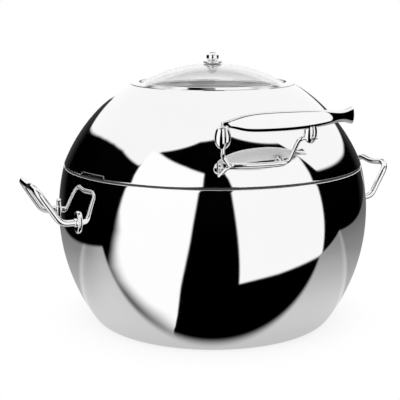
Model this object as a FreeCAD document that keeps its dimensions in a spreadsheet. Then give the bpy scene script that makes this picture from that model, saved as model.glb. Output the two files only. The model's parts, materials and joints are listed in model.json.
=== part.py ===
"""Soup kettle: a polished ball-shaped body with a lift-out pot and a hinged, windowed lid.

The frame has +Z up, the origin on the floor at the middle of the foot, and the lid handle at the front, -Y.
All lengths are millimetres and all angles degrees.
"""
import FreeCAD
import Part
import Sketcher

import math
import os
import re

from FreeCAD import Placement, Rotation, Vector

SIZES = {
    # Spun body: a side curve wider than a ball, a rounded foot and a rim that turns inward
    "body_radius": 200.0,
    "body_equator": 144.5,
    "side_arc": 238.6,
    "corner_round": 19.4,
    "rim_height": 205.0,
    "rim_round": 4.0,
    "rim_ledge": 13.1,
    "body_wall": 1.5,
    # Heating disc, flush with the foot
    "foot_band": 21.4,
    "disc_thick": 5.0,
    "disc_gap": 0.5,
    # Lift-out pot, hung on the rim by its flange
    "pot_clear": 11.0,
    "pot_corner": 25.0,
    "pot_floor": 42.0,
    "pot_wall": 1.5,
    "flange_inset": 4.6,
    # Soft ring under the lid
    "seam_gap": 2.0,
    "seal_inset": 3.9,
    "seal_width": 3.6,
    "seal_clear": 0.3,
    # Lid: part of a sphere from the rim to the window, with an inward lip below and a well above
    "lid_rise": 101.27,
    "lid_step": 1.46,
    "lid_wall": 1.5,
    "lid_edge_round": 1.0,
    "lip_inset": 4.5,
    "well_inset": 5.0,
    "well_depth": 8.3,
    "well_ledge": 14.0,
    # Ladle notch in the lid's edge
    "notch_turn": -72.4,
    "notch_width": 47.0,
    "notch_height": 4.6,
    "notch_round": 2.0,
    "notch_reach": 20.0,
    # Window
    "ring_radius": 105.0,
    "ring_band": 11.0,
    "ring_height": 3.0,
    "ring_round": 1.8,
    "ring_inner_round": 0.8,
    "glass_arc": 182.3,
    "glass_thick": 4.0,
    "glass_inset": 3.0,
    "glass_bore": 3.6,
    "gasket_inset": 3.0,
    "gasket_thick": 1.2,
    "gasket_lip": 2.6,
    # Knob at the middle of the glass
    "knob_radius": 8.0,
    "knob_side": 7.2,
    "knob_crown": 3.6,
    "knob_neck": 6.4,
    "knob_neck_height": 1.0,
    "knob_socket": 6.0,
    "flange_radius": 11.75,
    "flange_thick": 2.0,
    "flange_round": 0.8,
    "seal_radius": 9.0,
    "seal_thick": 0.8,
    "stud_radius": 3.0,
    "stud_tail": 2.0,
    "washer_radius": 8.0,
    "washer_thick": 1.2,
    "nut_height": 5.0,
    "nut_corner": 5.8,
    # Side handles: a bent rod between two collars
    "rod_radius": 4.0,
    "collar_pitch": 85.0,
    "collar_lift": 6.5,
    "collar_width": 12.5,
    "collar_tall": 21.0,
    "collar_stand": 5.5,
    "collar_round": 2.0,
    "collar_root": 12.5,
    "rod_start": 1.5,
    "handle_reach": 16.8,
    "handle_lean": 29.2,
    "handle_rise": 42.6,
    "grip_width": 68.0,
    "grip_dip": 4.5,
    "lower_bend": 11.0,
    "upper_bend": 9.0,
    "dip_bend": 60.0,
    # Screws that hold the handles and the hinge, and the shaped washers under their heads
    "screw_radius": 2.5,
    "screw_grip": 8.0,
    "screw_head": 4.6,
    "screw_head_height": 3.0,
    "screw_head_flat": 3.6,
    "screw_end": 1.0,
    "saddle_radius": 7.0,
    "saddle_thick": 1.6,
    # Lid handle: a cast bar on two forked lugs
    "bar_start": 80.0,
    "bar_length": 166.0,
    "bar_reach": 14.45,
    "bar_rise": 75.7,
    "lug_inset": 1.0,
    "lug_pitch": 108.0,
    "lug_drop": 20.7,
    "cheek_thick": 6.2,
    "cheek_gap": 4.0,
    "cheek_deep": 12.0,
    "cheek_tall": 18.0,
    "cheek_round": 2.0,
    "neck_radius": 4.6,
    "neck_top": 3.2,
    "bridge_drop": 2.3,
    # Sections of the bar: place along it, depth, height and lift
    "tip_at": 0.0,
    "tip_deep": 4.4,
    "tip_tall": 4.4,
    "tip_lift": 0.0,
    "nose_at": 15.0,
    "nose_deep": 11.0,
    "nose_tall": 13.3,
    "nose_lift": -0.6,
    "belly_at": 50.0,
    "belly_deep": 15.0,
    "belly_tall": 18.8,
    "belly_lift": -1.2,
    "flank_at": 91.0,
    "flank_deep": 13.5,
    "flank_tall": 17.0,
    "flank_lift": -0.4,
    "taper_at": 126.0,
    "taper_deep": 10.2,
    "taper_tall": 13.2,
    "taper_lift": 0.9,
    "waist_at": 146.0,
    "waist_deep": 9.0,
    "waist_tall": 11.8,
    "waist_lift": 1.4,
    "tail_at": 166.0,
    "tail_deep": 10.0,
    "tail_tall": 16.5,
    "tail_lift": 0.4,
    # Bail: the bent wire that carries the lid handle
    "wire_radius": 2.5,
    "foot_run_left": 22.0,
    "foot_run_right": 15.0,
    "foot_rise": 24.5,
    "axle_bend": 6.0,
    "foot_bend": 7.0,
    "socket_drop": 13.5,
    "axle_run": 13.8,
    # Hinge at the back
    "hinge_offset": 7.0,
    "hinge_lift": 1.5,
    "knuckle_radius": 7.0,
    "knuckle_half": 11.7,
    "knuckle_gap": 0.6,
    "bracket_half": 30.0,
    "bracket_drop": 37.0,
    "bracket_corner": 9.0,
    "bracket_edge": 2.0,
    "bracket_relief": 1.5,
    "pin_radius": 3.0,
    "cap_radius": 5.0,
    "cap_thick": 2.5,
    "cap_round": 0.8,
    "arm_thick": 5.0,
    "arm_rise": 49.0,
    "arm_corner": 9.0,
    "bracket_screw_drop": 24.0,
    "bracket_screw_half": 18.0,
    "arm_screw_low": 20.1,
    "arm_screw_high": 35.7,
    # Clearances
    "fit_gap": 0.05,
    "pin_gap": 0.05,
    "hole_gap": 0.3,
}

WORKED = {
    # Body curve: centre of the side arc, then the directions in which it meets the foot and the rim
    "side_centre": "body_radius - side_arc",
    "foot_radius": "side_centre + sqrt((side_arc - corner_round)^2 - (body_equator - corner_round)^2)",
    "foot_out": "(foot_radius - side_centre) / (side_arc - corner_round)",
    "foot_down": "(body_equator - corner_round) / (side_arc - corner_round)",
    "rim_rise": "rim_height - rim_round - body_equator",
    "shoulder_radius": "side_centre + sqrt((side_arc - rim_round)^2 - rim_rise^2)",
    "rim_out": "(shoulder_radius - side_centre) / (side_arc - rim_round)",
    "rim_up": "rim_rise / (side_arc - rim_round)",
    "inner_arc": "side_arc - body_wall",
    "rim_bore": "shoulder_radius - rim_ledge",
    "disc_radius": "foot_radius - foot_band",
    "recess_radius": "disc_radius + disc_gap",
    "pot_radius": "rim_bore - pot_clear",
    "pot_flange": "shoulder_radius - flange_inset",
    "seal_inner": "shoulder_radius - seal_inset",
    "seal_outer": "seal_inner + seal_width",
    # Lid curve: the sphere through the window's edge that the rounded lower edge runs into
    "lid_edge": "rim_height + seam_gap",
    "lip_bore": "shoulder_radius - lip_inset",
    "edge_radius": "shoulder_radius + lid_step",
    "edge_up": "lid_rise - lid_edge_round",
    "edge_share": "lid_edge_round / edge_up",
    "edge_offset": "(ring_radius^2 - edge_radius^2 + edge_up^2 - lid_edge_round^2) / (2 * edge_up)",
    "edge_arc": "(sqrt(edge_offset^2 * edge_share^2 + (1 - edge_share^2) * (edge_radius^2 + edge_offset^2))"
                " - edge_offset * edge_share) / (1 - edge_share^2)",
    "lid_arc": "edge_arc + lid_edge_round",
    "lid_centre": "lid_edge + lid_edge_round + edge_offset - edge_share * edge_arc",
    "edge_rise": "lid_edge + lid_edge_round - lid_centre",
    "edge_scale": "lid_arc / edge_arc",
    "lid_inner": "lid_arc - lid_wall",
    "flat_top": "lid_edge + lid_rise",
    "well_radius": "ring_radius - well_inset",
    "well_floor": "flat_top - well_depth",
    "window_bore": "well_radius - well_ledge",
    "ring_bore": "ring_radius - ring_band",
    "gasket_bore": "window_bore + gasket_inset",
    "glass_radius": "well_radius - glass_inset",
    # Glass: its centre of curvature follows from the gasket that it stands on
    "glass_inner": "glass_arc - glass_thick",
    "glass_centre": "well_floor + gasket_thick - sqrt(glass_inner^2 - glass_radius^2)",
    "glass_top": "glass_centre + glass_arc",
    "knob_base": "glass_top + seal_thick + flange_thick",
    "inner_seal_top": "glass_centre + sqrt(glass_inner^2 - seal_radius^2)",
    "nut_top": "inner_seal_top - seal_thick - washer_thick",
    # Side handles: the body's wall where the collars and the washers sit
    "collar_half": "collar_pitch / 2",
    "collar_height": "body_equator + collar_lift",
    "collar_seat": "sqrt(body_radius^2 - collar_half^2)",
    "collar_face": "body_radius + collar_stand",
    "saddle_face": "sqrt((body_radius - body_wall)^2 - (collar_half + saddle_radius)^2) - saddle_thick",
    # Hinge
    "hinge_y": "body_radius + hinge_offset",
    "hinge_z": "rim_height + hinge_lift",
    "ear_inner": "knuckle_half + knuckle_gap",
    "bracket_low": "rim_height - bracket_drop",
    "bracket_screw_height": "rim_height - bracket_screw_drop",
    "arm_top": "lid_edge + arm_rise",
    "arm_angle_low": "asin((lid_edge + arm_screw_low - lid_centre) / lid_arc)",
    "arm_angle_high": "asin((lid_edge + arm_screw_high - lid_centre) / lid_arc)",
    "bracket_saddle": "sqrt((body_radius - body_wall - bracket_fall)^2"
                      " - (bracket_screw_half + saddle_radius)^2) - saddle_thick",
    "bracket_fall": "side_arc - sqrt(side_arc^2 - (bracket_screw_height + saddle_radius - body_equator)^2)",
    # Lid handle and bail
    "bar_left": "-bar_start",
    "bar_front": "edge_radius + bar_reach",
    "bar_height": "lid_edge + bar_rise",
    "axle_height": "bar_height - lug_drop",
    "lug_left": "bar_left + lug_inset",
    "lug_right": "lug_left + lug_pitch",
    "foot_left": "lug_left + foot_run_left",
    "foot_right": "lug_right - foot_run_right",
    "foot_height": "lid_edge + foot_rise",
    "axle_right": "lug_right - axle_run",
}

LEFT = 1
RIGHT = -1
FULL_TURN = 360.0
ALONG_X = Rotation(Vector(0, 1, 0), 90)
ALONG_MINUS_X = Rotation(Vector(0, 1, 0), -90)
ALONG_Y = Rotation(Vector(1, 0, 0), -90)

doc = FreeCAD.newDocument("soup_kettle")
nodes = []


def formula(text, inside_worked=False):
    """Put the sheet's name before each size in a formula."""
    def qualify(match):
        name = match.group(0)
        if name in SIZES:
            return "Sizes." + name
        if name in WORKED and not inside_worked:
            return "Worked." + name
        return name
    return re.sub(r"[a-z]\w*", qualify, text)


def make_sheets():
    sizes = doc.addObject("Spreadsheet::Sheet", "Sizes")
    for row, (name, value) in enumerate(SIZES.items(), start=1):
        sizes.set(f"A{row}", name.replace("_", " "))
        sizes.set(f"B{row}", str(value))
        sizes.setAlias(f"B{row}", name)
    worked = doc.addObject("Spreadsheet::Sheet", "Worked")
    for row, name in enumerate(WORKED, start=1):
        worked.setAlias(f"B{row}", name)
    for row, (name, text) in enumerate(WORKED.items(), start=1):
        worked.set(f"A{row}", name.replace("_", " "))
        worked.set(f"B{row}", "=" + formula(text, inside_worked=True))
    doc.recompute()
    return sizes


sheet = make_sheets()


def number(text):
    """The value of a formula in the sheet's sizes."""
    return float(sheet.evalExpression(formula(text)))


def point(x, y, z):
    return Vector(number(x), number(y), number(z))


def bind(item, name, text):
    item.setExpression(name, formula(text))


def place(item, x="0", y="0", z="0", turn=Rotation()):
    item.Placement = Placement(point(x, y, z), turn)
    for axis, text in zip("xyz", (x, y, z)):
        bind(item, f"Placement.Base.{axis}", text)
    return item


def node(item):
    """Mark a finished sub-part: its label names its file."""
    nodes.append(item)
    return item


def arc_between(start, end, radius, side):
    """The shorter arc from start to end, with its centre to the left or the right of the way."""
    way = end - start
    middle = start + way * 0.5
    across = Vector(-way.y, way.x, 0).normalize() * side
    centre = middle + across * math.sqrt(radius**2 - (way.Length / 2)**2)
    first, last = (start, end) if side == LEFT else (end, start)
    angles = [math.atan2(p.y - centre.y, p.x - centre.x) for p in (first, last)]
    return Part.ArcOfCircle(Part.Circle(centre, Vector(0, 0, 1), radius), *angles)


def sketch_outline(body, plane, outline):
    """A closed sketch through (across, up) corners; a corner may start an arc: (across, up, side, radius)."""
    sketch = body.newObject("Sketcher::SketchObject", body.Name + "_outline")
    support = next(item for item in body.Origin.OriginFeatures if item.Role == plane)
    sketch.AttachmentSupport = (support, [""])
    sketch.MapMode = "FlatFace"
    corners = [Vector(number(corner[0]), number(corner[1]), 0) for corner in outline]
    starts = []
    ends = []
    for index, corner in enumerate(outline):
        start = corners[index]
        end = corners[(index + 1) % len(corners)]
        clockwise = len(corner) > 2 and corner[2] == RIGHT
        starts.append(2 if clockwise else 1)
        ends.append(1 if clockwise else 2)
        if len(corner) > 2:
            sketch.addGeometry(arc_between(start, end, number(corner[3]), corner[2]))
        else:
            sketch.addGeometry(Part.LineSegment(start, end))
    for index in range(len(outline)):
        before = (index - 1) % len(outline)
        sketch.addConstraint(Sketcher.Constraint("Coincident", before, ends[before], index, starts[index]))
    for index, corner in enumerate(outline):
        for kind, axis, text, value in (("DistanceX", -2, corner[0], corners[index].x),
                                        ("DistanceY", -1, corner[1], corners[index].y)):
            if text == "0":
                sketch.addConstraint(Sketcher.Constraint("PointOnObject", index, starts[index], axis))
            else:
                row = sketch.addConstraint(Sketcher.Constraint(kind, index, starts[index], value))
                bind(sketch, f"Constraints[{row}]", text)
        if len(corner) > 2:
            row = sketch.addConstraint(Sketcher.Constraint("Radius", index, number(corner[3])))
            bind(sketch, f"Constraints[{row}]", corner[3])
    return sketch


def lathe(label, outline):
    """A turned or spun piece: the outline goes round the Z axis."""
    body = doc.addObject("PartDesign::Body", label)
    sketch = sketch_outline(body, "XZ_Plane", outline)
    turned = body.newObject("PartDesign::Revolution", label + "_turned")
    turned.Profile = sketch
    turned.ReferenceAxis = (sketch, ["V_Axis"])
    turned.Angle = FULL_TURN
    return body


def ring(label, inner, outer, low, high):
    return lathe(label, [(inner, low), (outer, low), (outer, high), (inner, high)])


def cylinder(label, radius, height, turn=Rotation(), x="0", y="0", z="0"):
    item = doc.addObject("Part::Cylinder", label)
    bind(item, "Radius", radius)
    bind(item, "Height", height)
    return place(item, x, y, z, turn)


def box(label, x, y, z):
    """A box between two formulas along each axis."""
    item = doc.addObject("Part::Box", label)
    for name, (low, high) in zip(("Length", "Width", "Height"), (x, y, z)):
        bind(item, name, f"({high}) - ({low})")
    return place(item, x[0], y[0], z[0])


def sphere(label, radius):
    item = doc.addObject("Part::Sphere", label)
    bind(item, "Radius", radius)
    return place(item, z="lid_centre")


def cut(label, base, *tools):
    result = doc.addObject("Part::Cut", label)
    result.Base = base
    result.Tool = tools[0] if len(tools) == 1 else group(label + "_tools", *tools)
    return result


def common(label, base, tool):
    result = doc.addObject("Part::Common", label)
    result.Base = base
    result.Tool = tool
    return result


def fuse(label, *pieces):
    result = doc.addObject("Part::MultiFuse", label)
    result.Shapes = list(pieces)
    return result


def group(label, *pieces):
    """Separate solids under one name."""
    result = doc.addObject("Part::Compound", label)
    result.Links = list(pieces)
    return result


def mirror_x(label, source):
    result = doc.addObject("Part::Mirroring", label)
    result.Source = source
    result.Normal = Vector(1, 0, 0)
    return result


def barrel(label, arc):
    """A solid with the body's side curve, between the corner and the rim, at another arc radius."""
    low = "2 * corner_round"
    high = "rim_height - rim_round"
    reach = "side_centre + sqrt(({0})^2 - ({1} - body_equator)^2)"
    return lathe(label, [("0", low), (reach.format(arc, low), low, LEFT, arc),
                         (reach.format(arc, high), high), ("0", high)])


def feature(label, shape):
    item = doc.addObject("Part::Feature", label)
    item.Shape = shape
    item.Placement = Placement()
    return item


def bent_rod(points, bends, radius):
    """A round rod along straight runs that tangent arcs join."""
    edges = []
    start = points[0]
    for before, corner, after, bend in zip(points, points[1:], points[2:], bends):
        way_in = (corner - before).normalize()
        way_out = (after - corner).normalize()
        half_turn = way_in.getAngle(way_out) / 2
        reach = bend * math.tan(half_turn)
        inward = (way_out - way_in).normalize()
        arc_start = corner - way_in * reach
        arc_middle = corner + inward * (bend / math.cos(half_turn) - bend)
        arc_end = corner + way_out * reach
        edges.append(Part.LineSegment(start, arc_start).toShape())
        edges.append(Part.Arc(arc_start, arc_middle, arc_end).toShape())
        start = arc_end
    edges.append(Part.LineSegment(start, points[-1]).toShape())
    path = Part.Wire(edges)
    section = Part.Wire([Part.makeCircle(radius, points[0], points[1] - points[0])])
    rod = path.makePipeShell([section], True, False)
    expected = math.pi * radius**2 * path.Length
    print(f"rod length {path.Length:.1f}, volume against section times length {rod.Volume / expected:.4f}")
    return rod


def screw_outline(length):
    """A pan-head screw standing on Z, its head's seat at zero and its tip up."""
    return [("0", "-screw_head_height"), ("screw_head_flat", "-screw_head_height", LEFT, "screw_head_height"),
            ("screw_head", "0"), ("screw_radius", "0"), ("screw_radius", length), ("0", length)]


def body_pieces(outer, inner):
    form = lathe("body_form", [
        ("0", "disc_thick"),
        ("recess_radius", "disc_thick"),
        ("recess_radius", "0"),
        ("foot_radius", "0", LEFT, "corner_round"),
        ("side_centre + side_arc * foot_out", "body_equator - side_arc * foot_down", LEFT, "side_arc"),
        ("side_centre + side_arc * rim_out", "body_equator + side_arc * rim_up", LEFT, "rim_round"),
        ("shoulder_radius", "rim_height"),
        ("rim_bore", "rim_height"),
        ("rim_bore", "rim_height - body_wall"),
        ("shoulder_radius", "rim_height - body_wall", RIGHT, "rim_round - body_wall"),
        ("side_centre + inner_arc * rim_out", "body_equator + inner_arc * rim_up", RIGHT, "inner_arc"),
        ("side_centre + inner_arc * foot_out", "body_equator - inner_arc * foot_down",
         RIGHT, "corner_round - body_wall"),
        ("foot_radius", "body_wall"),
        ("recess_radius + body_wall", "body_wall"),
        ("recess_radius + body_wall", "disc_thick + body_wall"),
        ("0", "disc_thick + body_wall"),
    ])
    hole = "screw_radius + hole_gap"
    holes = [cylinder(f"handle_hole_{row}", hole, "2 * body_radius", ALONG_X,
                      "-body_radius", f"{row} * collar_half", "collar_height") for row in (-1, 1)]
    holes += [cylinder(f"bracket_hole_{column}", hole, "body_radius", ALONG_Y,
                       f"{column} * bracket_screw_half", "0", "bracket_screw_height") for column in (-1, 1)]
    node(cut("body_shell", form, *holes))
    node(lathe("base_disc", [("0", "0"), ("disc_radius", "0"), ("disc_radius", "disc_thick"),
                             ("0", "disc_thick")]))
    node(ring("rim_seal", "seal_inner", "seal_outer", "rim_height", "lid_edge - seal_clear"))
    node(lathe("soup_pot", [
        ("0", "pot_floor"),
        ("pot_radius - pot_corner", "pot_floor", LEFT, "pot_corner"),
        ("pot_radius", "pot_floor + pot_corner"),
        ("pot_radius", "rim_height"),
        ("pot_flange", "rim_height"),
        ("pot_flange", "rim_height + pot_wall"),
        ("pot_radius - pot_wall", "rim_height + pot_wall"),
        ("pot_radius - pot_wall", "pot_floor + pot_corner", RIGHT, "pot_corner - pot_wall"),
        ("pot_radius - pot_corner", "pot_floor + pot_wall"),
        ("0", "pot_floor + pot_wall"),
    ]))


def handle_rod():
    """The left handle: out from the collars, up along two leaning arms, and across a dipped grip."""
    start = "-(collar_seat + rod_start)"
    elbow = "-(collar_face + handle_reach - collar_stand)"
    top = "-(collar_face + handle_reach - collar_stand + handle_lean)"
    slope = math.hypot(number("handle_lean"), number("handle_rise"))
    dip = number("grip_dip") / slope
    crest = "collar_height + handle_rise"
    front = [point(start, "-collar_half", "collar_height"), point(elbow, "-collar_half", "collar_height"),
             point(top, "-grip_width / 2", crest)]
    middle = point(top, "0", crest) + Vector(number("handle_lean"), 0, -number("handle_rise")) * dip
    back = [Vector(p.x, -p.y, p.z) for p in reversed(front)]
    bends = [number(name) for name in ("lower_bend", "upper_bend", "dip_bend", "upper_bend", "lower_bend")]
    rod = bent_rod(front + [middle] + back, bends, number("rod_radius"))
    bores = [Part.makeCylinder(number("screw_radius + fit_gap"), number("screw_grip + rod_start"),
                               point(start, f"{row} * collar_half", "collar_height"), Vector(-1, 0, 0))
             for row in (-1, 1)]
    return rod.cut(Part.makeCompound(bores))


def collar(row, outer):
    """An upright oval collar that the rod passes through, shaped to the body's wall."""
    body = doc.addObject("PartDesign::Body", f"collar_form_{row}")
    half = "collar_width / 2"
    flat = "(collar_tall - collar_width) / 2"
    sketch = sketch_outline(body, "XY_Plane", [
        (f"-{flat}", f"-{half}"),
        (flat, f"-{half}", LEFT, half),
        (f"{flat} + {half}", "0", LEFT, half),
        (flat, half),
        (f"-{flat}", half, LEFT, half),
        (f"-{flat} - {half}", "0", LEFT, half),
    ])
    pad = body.newObject("PartDesign::Pad", f"collar_pad_{row}")
    pad.Profile = sketch
    bind(pad, "Length", "collar_face - collar_seat + collar_root")
    doc.recompute()
    far_face = max(range(len(pad.Shape.Faces)), key=lambda i: pad.Shape.Faces[i].CenterOfMass.z)
    rounded = body.newObject("PartDesign::Fillet", f"collar_fillet_{row}")
    rounded.Base = (pad, [f"Face{far_face + 1}"])
    bind(rounded, "Radius", "collar_round")
    place(body, "collar_root - collar_seat", f"{row} * collar_half", "collar_height", ALONG_MINUS_X)
    bore = cylinder(f"collar_bore_{row}", "rod_radius + fit_gap", "body_radius", ALONG_MINUS_X,
                    "-body_radius / 2", f"{row} * collar_half", "collar_height")
    return cut(f"collar_{row}", body, fuse(f"collar_tool_{row}", outer, bore))


def saddle(label, inner, turn, x, y, z):
    """A washer with a flat face for the screw's head and a face that follows the body's wall."""
    blank = cylinder(label + "_blank", "saddle_radius", "saddle_radius * 3", turn, x, y, z)
    bore = cylinder(label + "_bore", "screw_radius + fit_gap", "saddle_radius * 3", turn, x, y, z)
    return common(label, cut(label + "_bored", blank, bore), inner)


def side_handles(outer, inner):
    rod = node(feature("left_handle", handle_rod()))
    collars = node(group("left_collars", *[collar(row, outer) for row in (-1, 1)]))
    node(mirror_x("right_handle", rod))
    node(mirror_x("right_collars", collars))
    screws = []
    saddles = []
    length = "collar_seat + rod_start + screw_grip - saddle_face"
    for row in (-1, 1):
        spot = ("-saddle_face", f"{row} * collar_half", "collar_height")
        screws.append(place(lathe(f"handle_screw_{row}", screw_outline(length)), *spot, ALONG_MINUS_X))
        saddles.append(saddle(f"handle_saddle_{row}", inner, ALONG_MINUS_X, *spot))
    for label, pieces in (("handle_screws", screws), ("handle_washers", saddles)):
        left = group("left_" + label, *pieces)
        node(group(label, left, mirror_x("right_" + label, left)))


def lid_pieces():
    form = lathe("lid_form", [
        ("lip_bore", "lid_edge"),
        ("edge_radius", "lid_edge", LEFT, "lid_edge_round"),
        ("edge_radius * edge_scale", "lid_centre + edge_rise * edge_scale", LEFT, "lid_arc"),
        ("ring_radius", "flat_top"),
        ("well_radius", "flat_top"),
        ("well_radius", "well_floor"),
        ("window_bore", "well_floor"),
        ("window_bore", "well_floor - lid_wall"),
        ("well_radius + lid_wall", "well_floor - lid_wall"),
        ("well_radius + lid_wall", "flat_top - lid_wall"),
        ("sqrt(lid_inner^2 - (flat_top - lid_wall - lid_centre)^2)", "flat_top - lid_wall", RIGHT, "lid_inner"),
        ("sqrt(lid_inner^2 - (lid_edge + lid_wall - lid_centre)^2)", "lid_edge + lid_wall"),
        ("lip_bore", "lid_edge + lid_wall"),
    ])
    holes = [radial_cylinder(f"arm_hole_{name}", "screw_radius + hole_gap", name) for name in ARM_SCREWS]
    node(cut("lid_shell", form, notch_cutter(), *holes))


def notch_cutter():
    """The ladle notch: an upright slot with rounded upper corners, through the lid's lip and wall."""
    body = doc.addObject("PartDesign::Body", "notch_cutter")
    half = "notch_width / 2"
    low = "lid_edge - notch_height"
    high = "lid_edge + notch_height"
    sketch = sketch_outline(body, "XZ_Plane", [
        (f"-{half}", low),
        (half, low),
        (half, f"{high} - notch_round", LEFT, "notch_round"),
        (f"{half} - notch_round", high),
        (f"notch_round - {half}", high, LEFT, "notch_round"),
        (f"-{half}", f"{high} - notch_round"),
    ])
    pad = body.newObject("PartDesign::Pad", "notch_pad")
    pad.Profile = sketch
    bind(pad, "Length", "lip_bore + notch_reach")
    turn = Rotation(Vector(0, 0, 1), number("notch_turn"))
    body.Placement = Placement(Vector(), turn)
    bind(body, "Placement.Rotation.Angle", "notch_turn")
    return body


def window():
    node(lathe("window_ring", [
        ("ring_bore", "flat_top"),
        ("ring_radius", "flat_top"),
        ("ring_radius", "flat_top + ring_height - ring_round", LEFT, "ring_round"),
        ("ring_radius - ring_round", "flat_top + ring_height"),
        ("ring_bore + ring_inner_round", "flat_top + ring_height", LEFT, "ring_inner_round"),
        ("ring_bore", "flat_top + ring_height - ring_inner_round"),
    ]))
    node(lathe("window_gasket", [
        ("gasket_bore", "well_floor"),
        ("well_radius", "well_floor"),
        ("well_radius", "flat_top"),
        ("well_radius - gasket_lip", "flat_top"),
        ("well_radius - gasket_lip", "well_floor + gasket_thick"),
        ("gasket_bore", "well_floor + gasket_thick"),
    ]))
    height = "glass_centre + sqrt({0}^2 - {1}^2)"
    node(lathe("window_glass", [
        ("glass_radius", height.format("glass_inner", "glass_radius")),
        ("glass_radius", height.format("glass_arc", "glass_radius"), LEFT, "glass_arc"),
        ("glass_bore", height.format("glass_arc", "glass_bore")),
        ("glass_bore", height.format("glass_inner", "glass_bore"), RIGHT, "glass_inner"),
    ]))


def knob_pieces():
    side = "knob_base + knob_neck_height"
    crown = f"{side} + knob_side"
    crown_arc = "(knob_radius^2 + knob_crown^2) / (2 * knob_crown)"
    node(lathe("knob", [
        ("stud_radius + fit_gap", "knob_base"),
        ("knob_neck", "knob_base"),
        ("knob_neck", side),
        ("knob_radius", side),
        ("knob_radius", crown, LEFT, crown_arc),
        ("0", f"{crown} + knob_crown"),
        ("0", "knob_base + knob_socket"),
        ("stud_radius + fit_gap", "knob_base + knob_socket"),
    ]))
    node(lathe("knob_flange", [
        ("stud_radius + fit_gap", "glass_top + seal_thick"),
        ("flange_radius", "glass_top + seal_thick"),
        ("flange_radius", "knob_base - flange_round", LEFT, "flange_round"),
        ("flange_radius - flange_round", "knob_base"),
        ("stud_radius + fit_gap", "knob_base"),
    ]))
    node(ring("knob_seal", "stud_radius + fit_gap", "seal_radius", "glass_top", "glass_top + seal_thick"))
    node(ring("inner_seal", "stud_radius + fit_gap", "seal_radius",
              "inner_seal_top - seal_thick", "inner_seal_top"))
    node(ring("knob_washer", "stud_radius + fit_gap", "washer_radius", "nut_top", "nut_top + washer_thick"))
    stud_low = "nut_top - nut_height - stud_tail"
    node(cylinder("knob_stud", "stud_radius", f"knob_base + knob_socket - ({stud_low})", z=stud_low))
    blank = doc.addObject("Part::Prism", "nut_blank")
    blank.Polygon = 6
    bind(blank, "Circumradius", "nut_corner")
    bind(blank, "Height", "nut_height")
    place(blank, z="nut_top - nut_height")
    bore = cylinder("nut_bore", "stud_radius + fit_gap", "nut_height", z="nut_top - nut_height")
    node(cut("knob_nut", blank, bore))


BAR_SECTIONS = ("tip", "nose", "belly", "flank", "taper", "waist", "tail")


def bar_section(name):
    """An upright oval section of the lid handle's bar."""
    stretch = FreeCAD.Matrix()
    stretch.scale(1.0, number(f"{name}_deep / 2"), number(f"{name}_tall / 2"))
    section = Part.makeCircle(1.0, Vector(), Vector(1, 0, 0)).transformGeometry(stretch)
    section.translate(point(f"bar_left + {name}_at", "-bar_front", f"bar_height + {name}_lift"))
    return Part.Wire(section.Edges)


def handle_bar():
    """A bar with a thin left end, a full belly, a waist and a flared tail."""
    return Part.makeLoft([bar_section(name) for name in BAR_SECTIONS], True, False)


def cheek(middle):
    """A rounded upright plate of a lug."""
    thick = number("cheek_thick")
    deep = number("cheek_deep")
    straight = number("cheek_tall") - deep
    corner = middle - Vector(thick / 2, deep / 2, straight / 2)
    plate = Part.makeBox(thick, deep, straight, corner)
    for end in (-straight / 2, straight / 2):
        start = middle + Vector(-thick / 2, 0, end)
        plate = plate.fuse(Part.makeCylinder(deep / 2, thick, start, Vector(1, 0, 0)))
    plate = plate.removeSplitter()
    flats = [face for face in plate.Faces if abs(face.normalAt(0, 0).x) > 0.99]
    return plate.makeFillet(number("cheek_round"), [edge for face in flats for edge in face.Edges])


def lug(along):
    """Two cheeks, the bridge between them and the neck that joins the bar."""
    axle = point(along, "-bar_front", "axle_height")
    spacing = number("cheek_thick + cheek_gap")
    neck = number("neck_radius")
    neck_top = number("neck_top")
    top = number("cheek_tall / 2")
    bridge = top - number("bridge_drop") - neck
    shape = Part.makeBox(spacing, 2 * neck, neck, axle + Vector(-spacing / 2, -neck, bridge))
    for side in (-0.5, 0.5):
        shape = shape.fuse(cheek(axle + Vector(side * spacing, 0, 0)))
    drop = number("lug_drop")
    shape = shape.fuse(Part.makeCone(neck, neck_top, drop - bridge, axle + Vector(0, 0, bridge)))
    return shape.fuse(Part.makeSphere(neck_top, axle + Vector(0, 0, drop)))


def lid_handle():
    casting = handle_bar()
    for along in ("lug_left", "lug_right"):
        casting = casting.fuse(lug(along))
    bore = number("wire_radius + fit_gap")
    socket = Part.makeCylinder(bore, number("socket_drop"), point("lug_left", "-bar_front", "axle_height"),
                               Vector(0, 0, -1))
    axle = Part.makeCylinder(bore, number("lug_pitch / 2"), point("axle_right", "-bar_front", "axle_height"),
                             Vector(1, 0, 0))
    node(feature("lid_handle", casting.cut(Part.makeCompound([socket, axle]))))


def bail():
    """A wire that lies on the lid, rises on both sides and ends in the lugs, upright left and level right."""
    axle_end = number("cheek_thick + cheek_gap / 2")
    stand_off = number("lid_arc + wire_radius + 2 * fit_gap")
    around = math.sqrt(stand_off**2 - (number("foot_height - lid_centre"))**2)

    def on_lid(along, share=1.0):
        return Vector(along, -math.sqrt(around**2 - along**2) * share, number("foot_height"))

    front = "-bar_front"
    height = "axle_height"
    left = number("foot_left")
    right = number("foot_right")
    middle = (left + right) / 2
    half_turn = (math.asin(right / around) - math.asin(left / around)) / 2
    lying_bend = around - 2 * number("foot_bend") / math.tan(half_turn)
    points = [point("lug_left", front, f"{height} - fit_gap"),
              point("lug_left", front, f"{height} - socket_drop"),
              on_lid(left),
              on_lid(middle, 1 / math.cos(half_turn)),
              on_lid(right),
              point("axle_right", front, height),
              point("lug_right", front, height) + Vector(axle_end, 0, 0)]
    bends = [number("axle_bend"), number("foot_bend"), lying_bend, number("foot_bend"), number("axle_bend")]
    node(feature("bail", bent_rod(points, bends, number("wire_radius"))))


ARM_SCREWS = {"low": "arm_angle_low", "high": "arm_angle_high"}


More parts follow.
